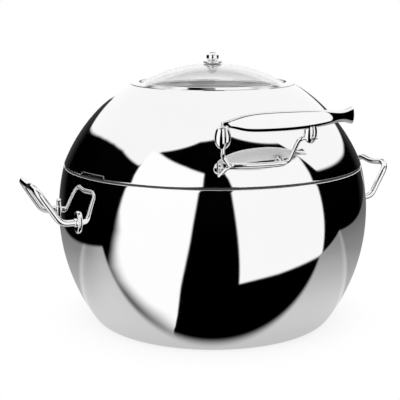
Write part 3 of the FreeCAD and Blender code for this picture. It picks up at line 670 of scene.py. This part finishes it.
def turned(outline, steps, middle=(0.0, 0.0)):
    # a profile of (radius, height) points drawn vertex by vertex, then spun round an upright axis
    bpy.ops.mesh.primitive_plane_add(location=(0, 0, 0))
    editAll()
    bpy.ops.mesh.merge(type="CENTER")
    x, y = middle
    spots = [Vector((x + radius, y, height)) for radius, height in outline]
    bpy.ops.transform.translate(value=spots[0])
    for spot, nextSpot in zip(spots, spots[1:]):
        bpy.ops.mesh.extrude_vertices_move(TRANSFORM_OT_translate={"value": nextSpot - spot})
    bpy.ops.mesh.select_all(action="SELECT")
    bpy.ops.mesh.spin(steps=steps, angle=2 * math.pi, center=(x, y, 0), axis=(0, 0, 1))
    cleanUp()


def arc(centreRadius, centreHeight, size, start, stop, count):
    # points on a round of a profile, angles in degrees from level outward
    points = []
    for number in range(count + 1):
        angle = math.radians(start + (stop - start) * number / count)
        radius = centreRadius + size * math.cos(angle)
        points.append((radius, centreHeight + size * math.sin(angle)))
    return points


def tube(path, radius, roundness):
    # a round wire along the path, turned into a mesh
    bpy.ops.curve.primitive_bezier_curve_add(location=(0, 0, 0))
    wire = bpy.context.object.data
    wire.splines.clear()
    spline = wire.splines.new("POLY")
    spline.points.add(len(path) - 1)
    for point, place in zip(spline.points, path):
        point.co = (*place, 1.0)
    wire.dimensions = "3D"
    wire.bevel_depth = radius
    wire.bevel_resolution = roundness
    wire.use_fill_caps = True
    bpy.ops.object.convert(target="MESH")
    bpy.ops.object.mode_set(mode="EDIT")
    cleanUp()


# the cast bar: a fish-like form with a flat front, a rounded back and a swept, flared tail
barSet = {
    "sides": 28,
    "stations": (              # along, low, high, front, split, back (metres)
        (-0.0798, 0.2809, 0.2843, -0.2044, -0.2028, -0.2020),
        (-0.0782, 0.2799, 0.2849, -0.2055, -0.2033, -0.2002),
        (-0.0742, 0.2787, 0.2859, -0.2071, -0.2044, -0.1980),
        (-0.0682, 0.2775, 0.2875, -0.2086, -0.2056, -0.1960),
        (-0.0612, 0.2757, 0.2897, -0.2099, -0.2068, -0.1940),
        (-0.0532, 0.2733, 0.2918, -0.2110, -0.2078, -0.1923),
        (-0.0422, 0.2723, 0.2933, -0.2119, -0.2086, -0.1910),
        (-0.0272, 0.2718, 0.2939, -0.2123, -0.2090, -0.1902),
        (-0.0042, 0.2716, 0.2940, -0.2124, -0.2090, -0.1900),
        (0.0158, 0.2721, 0.2938, -0.2121, -0.2086, -0.1902),
        (0.0318, 0.2733, 0.2933, -0.2113, -0.2078, -0.1908),
        (0.0438, 0.2743, 0.2929, -0.2102, -0.2066, -0.1916),
        (0.0523, 0.2752, 0.2924, -0.2086, -0.2048, -0.1922),
        (0.0598, 0.2760, 0.2914, -0.2064, -0.2022, -0.1924),
        (0.0668, 0.2766, 0.2906, -0.2036, -0.1992, -0.1920),
        (0.0738, 0.2767, 0.2903, -0.2008, -0.1964, -0.1912),
        (0.0808, 0.2761, 0.2907, -0.1980, -0.1936, -0.1898),
        (0.0868, 0.2743, 0.2921, -0.1957, -0.1912, -0.1880),
        (0.0908, 0.2731, 0.2931, -0.1942, -0.1896, -0.1868),
        (0.0926, 0.2730, 0.2932, -0.1935, -0.1889, -0.1862),
        (0.0929, 0.2730, 0.2932, -0.1934, -0.1888, -0.1861),
    ),
    # the tail's end: a narrow rim, then a dish in two steps of (inset, depth)
    "rim": 0.0002,
    "dish": ((0.0014, 0.0016), (0.0012, 0.00064)),
    "nose": 0.0005,            # inset at the thin end
    "rounding": 2,             # levels of subdivision
    # the underside, rougher and painted pale: where it starts, and over how much it grows to full
    "down": (0.70, 0.20),
    "rear": (0.25, 0.25),
    "tail": (0.068, 0.014),    # it fades before the tail
    "smooth": 50.0,
}


def sculptBar(spec):
    stations = spec["stations"]
    nose, low, high, _, split, _ = stations[0]
    hub = (nose, split, (low + high) / 2)
    tall = ahead = behind = (high - low) / 2
    bpy.ops.mesh.primitive_circle_add(vertices=spec["sides"], radius=tall, location=hub,
                                      rotation=(math.pi / 2, 0, math.pi / 2))
    applyPlace()
    editAll()
    for number, (along, low, high, front, split, back) in enumerate(stations):
        if number:
            extrude()
        loop = pickedIndices()
        nextHub = (along, split, (low + high) / 2)
        bpy.ops.transform.translate(value=[new - old for new, old in zip(nextHub, hub)])
        hub = nextHub
        half = (high - low) / 2
        stretch((1, 1, half / tall), hub)
        pickVertices(lambda vertex: vertex.index in loop and vertex.co.y < split - near)
        stretch((1, (split - front) / ahead, 1), hub)
        pickVertices(lambda vertex: vertex.index in loop and vertex.co.y > split + near)
        stretch((1, (back - split) / behind, 1), hub)
        pickVertices(lambda vertex: vertex.index in loop)
        tall, ahead, behind = half, split - front, back - split
    bpy.ops.mesh.edge_face_add()
    bpy.ops.mesh.inset(thickness=spec["rim"])
    for inset, depth in spec["dish"]:
        bpy.ops.mesh.inset(thickness=inset)
        bpy.ops.transform.translate(value=(-depth, 0, 0))
    pickVertices(lambda vertex: abs(vertex.co.x - nose) < near)
    bpy.ops.mesh.edge_face_add()
    bpy.ops.mesh.inset(thickness=spec["nose"])
    cleanUp()
    levels = spec["rounding"]
    applyModifier("SUBSURF", levels=levels, render_levels=levels)
    return bpy.context.object


def markUnderside(bar, spec):
    # 1 where the bar faces down or back and is rougher and painted paler, 0 on its polished front
    # and on the knuckles
    def grow(value, start, over):
        return min(1.0, max(0.0, (value - start) / over))

    tailStart, tailOver = spec["tail"]
    mark = bar.data.attributes.new("underside", "FLOAT", "POINT")
    for vertex, value in zip(bar.data.vertices, mark.data):
        down = grow(-vertex.normal.z, *spec["down"])
        rear = grow(vertex.normal.y, *spec["rear"])
        beforeTail = grow(-vertex.co.x, -tailStart, tailOver)
        value.value = beforeTail * max(down, rear)


# the knuckles under the bar: an egg on a short neck, split by a slot
knuckleSet = {
    "places": ((-0.0790, 1.0), (0.0290, 0.84)),   # along, breadth
    "front": -0.2050,
    "top": 0.2805,
    "slotTop": 0.2785,
    "slot": 0.0022,
    "depth": 0.74,
    "outline": (               # radius, height from the top
        (0.0046, 0.0), (0.0068, -0.0022), (0.0084, -0.0055), (0.0093, -0.0095),
        (0.0095, -0.0125), (0.0091, -0.0165), (0.0078, -0.0203), (0.0056, -0.0232),
        (0.0028, -0.0249), (0.0004, -0.0254)),
    "steps": 40,
    "edge": 0.0006,
    "edgeSegments": 3,
    "edgeAngle": 40.0,         # degrees; sharper edges are rounded
}


def splitKnuckle(spec, place, breadth):
    freshStart()
    top = spec["top"]
    outline = [(radius * breadth, top + height) for radius, height in spec["outline"]]
    turned(outline, spec["steps"], (place, spec["front"]))
    pickVertices(lambda vertex: vertex.co.z > top - near)
    bpy.ops.mesh.edge_face_add()
    bpy.ops.mesh.select_all(action="SELECT")
    stretch((1, spec["depth"], 1), (place, spec["front"], top))
    bpy.ops.mesh.normals_make_consistent(inside=False)
    egg = leaveEdit()
    applyPlace()

    # three copies: the neck above the slot, and the two cheeks beside it
    # each cut: a point, a direction, and whether what lies that way is kept
    half = spec["slot"] / 2
    above = ((0, 0, spec["slotTop"]), (0, 0, 1), True)
    below = ((0, 0, spec["slotTop"]), (0, 0, 1), False)
    leftOf = ((place - half, 0, 0), (1, 0, 0), False)
    rightOf = ((place + half, 0, 0), (1, 0, 0), True)
    made = []
    for cuts in ((above,), (leftOf, below), (rightOf, below)):
        selectOnly(egg)
        bpy.ops.object.duplicate()
        bpy.ops.object.mode_set(mode="EDIT")
        for point, normal, kept in cuts:
            bpy.ops.mesh.select_all(action="SELECT")
            bpy.ops.mesh.bisect(plane_co=point, plane_no=normal, use_fill=True,
                                clear_outer=not kept, clear_inner=kept)
        applyModifier("BEVEL", width=spec["edge"], segments=spec["edgeSegments"],
                      limit_method="ANGLE", angle_limit=math.radians(spec["edgeAngle"]))
        made.append(bpy.context.object)
    selectOnly(egg)
    bpy.ops.object.delete()
    return made


def makeLidHandle():
    freshStart()
    bar = sculptBar(barSet)
    markUnderside(bar, barSet)
    parts = [bar]
    for place, breadth in knuckleSet["places"]:
        parts += splitKnuckle(knuckleSet, place, breadth)
    selectOnly(*parts)
    bpy.ops.object.join()
    finishPiece("lidHandle", "lid", "polished_steel", ["lid_handle"], barSet["smooth"], barFinish)


makeLidHandle()
print("lid handle modelled")


# the small knob: a cone up to a short drum under a domed top
knobSet = {
    "base": 0.3367,
    "neck": 0.0058,
    "flare": (0.0002, 0.0006),    # out and up from the base to the cone's start
    "radius": 0.0078,
    "drum": (0.3402, 0.3442),
    "edge": 0.0003,
    "top": 0.3484,
    "domePoints": 10,
    "steps": 64,
    "smooth": 25.0,
}


def turnKnob(spec):
    freshStart()
    base, neck, radius = spec["base"], spec["neck"], spec["radius"]
    low, high = spec["drum"]
    out, up = spec["flare"]
    edge = spec["edge"]
    rise = spec["top"] - high
    ball = (radius ** 2 + rise ** 2) / (2 * rise)
    outline = [(0.0, base), (neck, base), (neck + out, base + up)]
    outline += [(radius - edge, low - edge), (radius, low)]
    outline += [(radius, (low + high) / 2), (radius, high - edge)]
    for number in range(spec["domePoints"]):
        reach = (radius - edge / 2) * (1 - number / spec["domePoints"])
        outline.append((reach, spec["top"] - ball + math.sqrt(ball ** 2 - reach ** 2)))
    outline.append((0.0, spec["top"]))
    turned(outline, spec["steps"])
    finishPiece("knobCap", "lid", "polished_steel", ["knob"], spec["smooth"])


turnKnob(knobSet)
print("knob turned")


# oval plates and ferrules where the side handles meet the body
collarSet = {
    "bodyRadius": 0.1999,
    "side": 0.0425,
    "height": 0.1510,
    "wide": 0.0134,
    "tall": 0.0276,
    "sunk": 0.0026,            # how deep they start in the body's wall
    "rise": 0.0030,
    "ferrule": 0.0054,
    "ferruleOut": 0.0060,
    # steps outward: share of the rise, scale
    "plateSteps": ((0.45, 1.0), (0.25, 0.975), (0.18, 0.94), (0.10, 0.88), (0.02, 0.60)),
    "ferruleSteps": ((0.30, 1.0), (0.25, 0.99), (0.18, 0.965), (0.13, 0.94), (0.09, 0.91),
                     (0.05, 0.88)),
    "sides": 40,
    "smooth": 40.0,
}


def raiseDisc(spec, radius, tall, rise, steps):
    # at the body's left: a disc or oval in the wall, raised in narrowing steps
    bpy.ops.object.select_all(action="DESELECT")
    face = -spec["bodyRadius"]
    sunk = spec["sunk"]
    bpy.ops.mesh.primitive_circle_add(vertices=spec["sides"], radius=radius, fill_type="NGON",
                                      location=(face + sunk, 0, spec["height"]),
                                      rotation=(0, -math.pi / 2, 0))
    applyPlace()
    editAll()
    hub = (face, 0, spec["height"])
    stretch((1, 1, tall), hub)
    for share, scale in steps:
        extrude((-(sunk + share * rise), 0, 0))
        stretch((1, scale, scale), hub)
        sunk = 0.0             # only the first step comes out of the wall
    faceOutwards()
    return leaveEdit()


def pressCollar(spec, mirror, rear):
    plate = raiseDisc(spec, spec["wide"] / 2, spec["tall"] / spec["wide"], spec["rise"],
                      spec["plateSteps"])
    ferrule = raiseDisc(spec, spec["ferrule"], 1.0, spec["ferruleOut"], spec["ferruleSteps"])
    selectOnly(plate, ferrule)
    bpy.ops.object.join()
    editAll()
    lean = math.asin(spec["side"] / spec["bodyRadius"]) * (1 if rear else -1)
    turn = lean + math.pi if mirror else lean
    bpy.ops.transform.rotate(value=turn, orient_axis="Z", center_override=(0, 0, 0))
    return leaveEdit()


def makeCollars(spec, name, node, mirror):
    freshStart()
    front = pressCollar(spec, mirror, False)
    rear = pressCollar(spec, mirror, True)
    selectOnly(front, rear)
    bpy.ops.object.join()
    finishPiece(name, "kettle", "polished_steel", [node], spec["smooth"])


makeCollars(collarSet, "leftCollars", "left_collars", False)
makeCollars(collarSet, "rightCollars", "right_collars", True)
print("collars pressed")


# the spun body: a rounded foot, the side curve and a crisp rim that turns inward
bodySet = {
    "side": 0.2386,            # side curve's radius
    "middle": (-0.0386, 0.1445),
    "corner": 0.0194,
    "foot": 0.1414,
    "recess": 0.1205,
    "disc": 0.0050,
    "rim": 0.2050,
    "rimRound": 0.0011,
    "bore": 0.1760,
    "wall": 0.0015,
    "cornerPoints": 14,
    "sidePoints": 72,
    "rimPoints": 6,
    "innerPoints": 30,
    "innerCornerPoints": 6,
    "steps": 288,
    "smooth": 30.0,
}


def spinBody(spec):
    freshStart()
    out, up = spec["middle"]
    side, wall, edge, rim = spec["side"], spec["wall"], spec["rimRound"], spec["rim"]
    foot, corner, recess, disc = spec["foot"], spec["corner"], spec["recess"], spec["disc"]
    low = math.degrees(math.atan2(corner - up, foot - out))
    lift = rim - edge - up
    high = math.degrees(math.asin(lift / (side - edge)))
    shoulder = out + math.sqrt((side - edge) ** 2 - lift ** 2)
    outline = [(0.0, disc), (recess, disc), (recess, 0.0)]
    outline += arc(foot, corner, corner, -90, low, spec["cornerPoints"])
    outline += arc(out, up, side, low, high, spec["sidePoints"])[1:]
    outline += arc(shoulder, rim - edge, edge, high, 90, spec["rimPoints"])[1:]
    outline += [(spec["bore"], rim), (spec["bore"], rim - wall)]
    inner = side - wall
    top = math.degrees(math.asin((rim - wall - up) / inner))
    outline += arc(out, up, inner, top, low, spec["innerPoints"])
    outline += arc(foot, corner, corner - wall, low, -90, spec["innerCornerPoints"])[1:]
    outline += [(recess + wall, wall), (recess + wall, disc + wall), (0.0, disc + wall)]
    turned(outline, spec["steps"])
    finishPiece("bodyShell", "kettle", "polished_steel", ["body_shell"], spec["smooth"])


spinBody(bodySet)
print("body spun")


# the dark seal in the seam behind the rim's edge, widened so that its black fills the seam and
# stands in for the shade there
sealSet = {
    "inner": 0.1852,
    # the seal reaches out to just inside the rim's round, so its black stands in for the shade in
    # the seam
    "outer": 0.1910,
    "low": 0.2050,
    "top": 0.2067,
    "round": 0.0006,
    "chamfer": 0.00018,        # at its lower outside
    "roundPoints": 5,
    "steps": 192,
    "smooth": 40.0,
}


def rollSeal(spec):
    freshStart()
    inner, outer, low, top = spec["inner"], spec["outer"], spec["low"], spec["top"]
    edge, chamfer, count = spec["round"], spec["chamfer"], spec["roundPoints"]
    outline = [(inner, low), (outer - chamfer, low), (outer, low + chamfer)]
    outline += arc(outer - edge, top - edge, edge, 0, 90, count)
    outline += arc(inner + edge, top - edge, edge, 90, 180, count)
    outline += [(inner, low)]
    turned(outline, spec["steps"])
    finishPiece("rimSealAndSeamShade", "kettle", "silicone", ["rim_seal"], spec["smooth"])


rollSeal(sealSet)
print("seal rolled")


# bent rods of the side handles
rodSet = {
    "radius": 0.0040,
    "start": 0.1969,
    "elbow": 0.2168,
    "top": 0.2460,
    "side": (0.0425, 0.0364),     # half width at the collars and at the grip
    "height": 0.1510,
    "rise": 0.0446,
    "dip": 0.0045,
    "bends": (0.0160, 0.0145, 0.0600, 0.0145, 0.0160),
    "bendPoints": 10,
    "roundness": 7,
    "smooth": 40.0,
}


def bentPath(points, bends, count):
    # straight runs joined by round bends
    path = [points[0]]
    for before, corner, after, bend in zip(points, points[1:], points[2:], bends):
        wayIn = (corner - before).normalized()
        wayOut = (after - corner).normalized()
        half = wayIn.angle(wayOut) / 2
        inward = (wayOut - wayIn).normalized()
        across = (wayIn + wayOut).normalized()
        hub = corner + inward * (bend / math.cos(half))
        for number in range(count + 1):
            sweep = -half + 2 * half * number / count
            swing = across * (bend * math.sin(sweep)) - inward * (bend * math.cos(sweep))
            path.append(hub + swing)
    path.append(points[-1])
    return path


def bendHandle(spec, name, node, side):
    freshStart()
    low, high = spec["side"]
    start, elbow, top, height = spec["start"], spec["elbow"], spec["top"], spec["height"]
    crest = height + spec["rise"]
    lean = Vector((top - elbow, 0, spec["rise"])).normalized()
    front = [Vector((start, -low, height)), Vector((elbow, -low, height)),
             Vector((top, -high, crest))]
    middle = Vector((top, 0, crest)) - lean * spec["dip"]
    back = [Vector((spot.x, -spot.y, spot.z)) for spot in reversed(front)]
    path = bentPath(front + [middle] + back, spec["bends"], spec["bendPoints"])
    path = [(side * spot.x, spot.y, spot.z) for spot in path]
    tube(path, spec["radius"], spec["roundness"])
    finishPiece(name, "kettle", "polished_steel", [node], spec["smooth"], rodFinish)


bendHandle(rodSet, "leftRod", "left_handle", -1)
bendHandle(rodSet, "rightRod", "right_handle", 1)
print("handles bent")


# the window's trim ring: a sloped outside, a flat top and a small step down to the glass
trimSet = {
    "outer": 0.1052,
    "shoulder": 0.1005,
    "slope": 0.0023,           # how far the outside slopes down
    "inner": 0.0942,
    "low": 0.30827,
    "top": 0.31120,
    "tuck": 0.0002,            # the outside's lower and upper edges stand in by this
    "lip": 0.0003,
    "edge": 0.0005,
    "edgePoints": 4,
    "steps": 192,
    "smooth": 15.0,
}


def turnTrim(spec):
    freshStart()
    inner, low, top = spec["inner"], spec["low"], spec["top"]
    edge, tucked = spec["edge"], spec["outer"] - spec["tuck"]
    outline = [(inner, low), (tucked, low), (spec["outer"], low + spec["lip"])]
    outline += [(tucked, top - spec["slope"]), (spec["shoulder"], top)]
    outline += arc(inner + edge, top - edge, edge, 90, 180, spec["edgePoints"])
    outline += [(inner, low)]
    turned(outline, spec["steps"])
    finishPiece("windowTrim", "lid", "polished_steel", ["window_ring"], spec["smooth"])


turnTrim(trimSet)
print("trim ring turned")


# thin rolled edge over the ladle notch
beadSet = {
    "turn": -72.4,             # degrees round the lid
    "half": 6.4,
    "endHalf": 7.1,            # the ends spread a little
    "radius": 0.00028,
    "out": 0.19033,
    "flare": 0.0011,           # the ends stand out with the lid's wall
    "height": 0.2115,
    "drop": 0.0036,
    "points": 24,
    "roundness": 3,
    "smooth": 60.0,
}


def rollBead(spec):
    freshStart()

    def onLid(offset, out, height):
        turn = math.radians(spec["turn"] + offset)
        return (out * math.sin(turn), -out * math.cos(turn), height)

    half, count = spec["half"], spec["points"]
    endOut, endHeight = spec["out"] + spec["flare"], spec["height"] - spec["drop"]
    path = [onLid(-spec["endHalf"], endOut, endHeight)]
    for number in range(count + 1):
        path.append(onLid(-half + 2 * half * number / count, spec["out"], spec["height"]))
    path.append(onLid(spec["endHalf"], endOut, endHeight))
    tube(path, spec["radius"], spec["roundness"])
    finishPiece("notchBead", "lid", "polished_steel", [], spec["smooth"])


rollBead(beadSet)
print("notch edge rolled")
